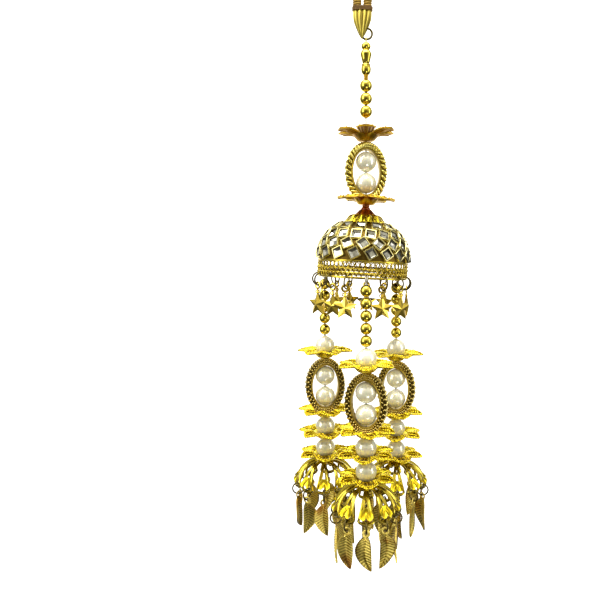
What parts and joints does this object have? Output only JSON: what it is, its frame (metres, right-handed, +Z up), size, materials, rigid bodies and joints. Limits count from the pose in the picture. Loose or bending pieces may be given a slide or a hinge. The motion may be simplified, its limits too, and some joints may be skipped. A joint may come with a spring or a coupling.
{
  "type": "bridal bangle ornament",
  "caption": "Gilt kalira bridal ornament on a cord loop: a stone-set dome fringed with stars over three strands of pearls, flowers and leaf-hung bells",
  "frame": {"origin": "where the cord loop bears on its hook, on the ornament's upright centre line", "axes": "+Z up along the hanging ornament, -Y towards the viewer of the picture, +X to the viewer's right"},
  "size_m": [0.0582, 0.0556, 0.2361],
  "materials": {
    "wound_cord": "cord wound round with gold-brown metallic thread in close coils",
    "dark_binding": "dark brown thread binding",
    "gold_thread": "lengthwise metallic gold thread with a sheen",
    "bright_gilt": "polished gold plating",
    "yellow_gilt": "satin yellow gold plating",
    "antique_gilt": "antiqued gold plating, brown in its hollows",
    "dark_gilt": "thin gold plating gone brown",
    "pearl": "glossy ivory pearl coating",
    "mirror_stone": "clear foil-backed square stones with cut corners",
    "nylon": "clear to whitish nylon thread"
  },
  "bodies": {
    "loop": {"hanging_cord": "wound_cord", "cord_binding": "dark_binding", "thread_bundle": "gold_thread", "hook_ring": "dark_gilt"},
    "drop": {"head_pin": "bright_gilt", "round_bead": "bright_gilt", "tapered_bead": "bright_gilt", "barrel_bead": "bright_gilt", "crimp_tube": "dark_gilt", "chain_ball_1": "bright_gilt", "chain_ball_2": "bright_gilt", "chain_ball_3": "bright_gilt", "drop_thread": "nylon", "top_flower": "yellow_gilt", "top_frame": "bright_gilt", "top_pearl_1": "pearl", "top_pearl_2": "pearl", "dome_flower": "yellow_gilt", "neck_bead": "dark_gilt", "crown_cap": "yellow_gilt", "dome": "antique_gilt", "dome_stones": "mirror_stone", "star_rings": "dark_gilt", "stars": "bright_gilt", "front_thread": "nylon", "right_thread": "nylon", "left_thread": "nylon", "front_balls": "bright_gilt", "right_balls": "bright_gilt", "left_balls": "bright_gilt", "front_pearls": "pearl", "right_pearls": "pearl", "left_pearls": "pearl", "front_flower_a": "yellow_gilt", "right_flower_a": "yellow_gilt", "left_flower_a": "yellow_gilt", "front_frame": "antique_gilt", "right_frame": "antique_gilt", "left_frame": "antique_gilt", "front_flower_b": "yellow_gilt", "right_flower_b": "yellow_gilt", "left_flower_b": "yellow_gilt", "front_flower_c": "yellow_gilt", "right_flower_c": "yellow_gilt", "left_flower_c": "yellow_gilt", "front_flower_d": "yellow_gilt", "right_flower_d": "yellow_gilt", "left_flower_d": "yellow_gilt", "front_cage": "yellow_gilt", "right_cage": "yellow_gilt", "left_cage": "yellow_gilt", "front_leaf_rings": "dark_gilt", "right_leaf_rings": "dark_gilt", "left_leaf_rings": "dark_gilt", "front_leaves": "antique_gilt", "right_leaves": "antique_gilt", "left_leaves": "antique_gilt"}
  },
  "joints": [
    {"name": "drop_swing", "type": "hinge", "parent": "loop", "child": "drop", "pos_m": [0, 0, -0.03353], "axis": [1, 0, 0], "range_deg": [-30, 30]}
  ]
}
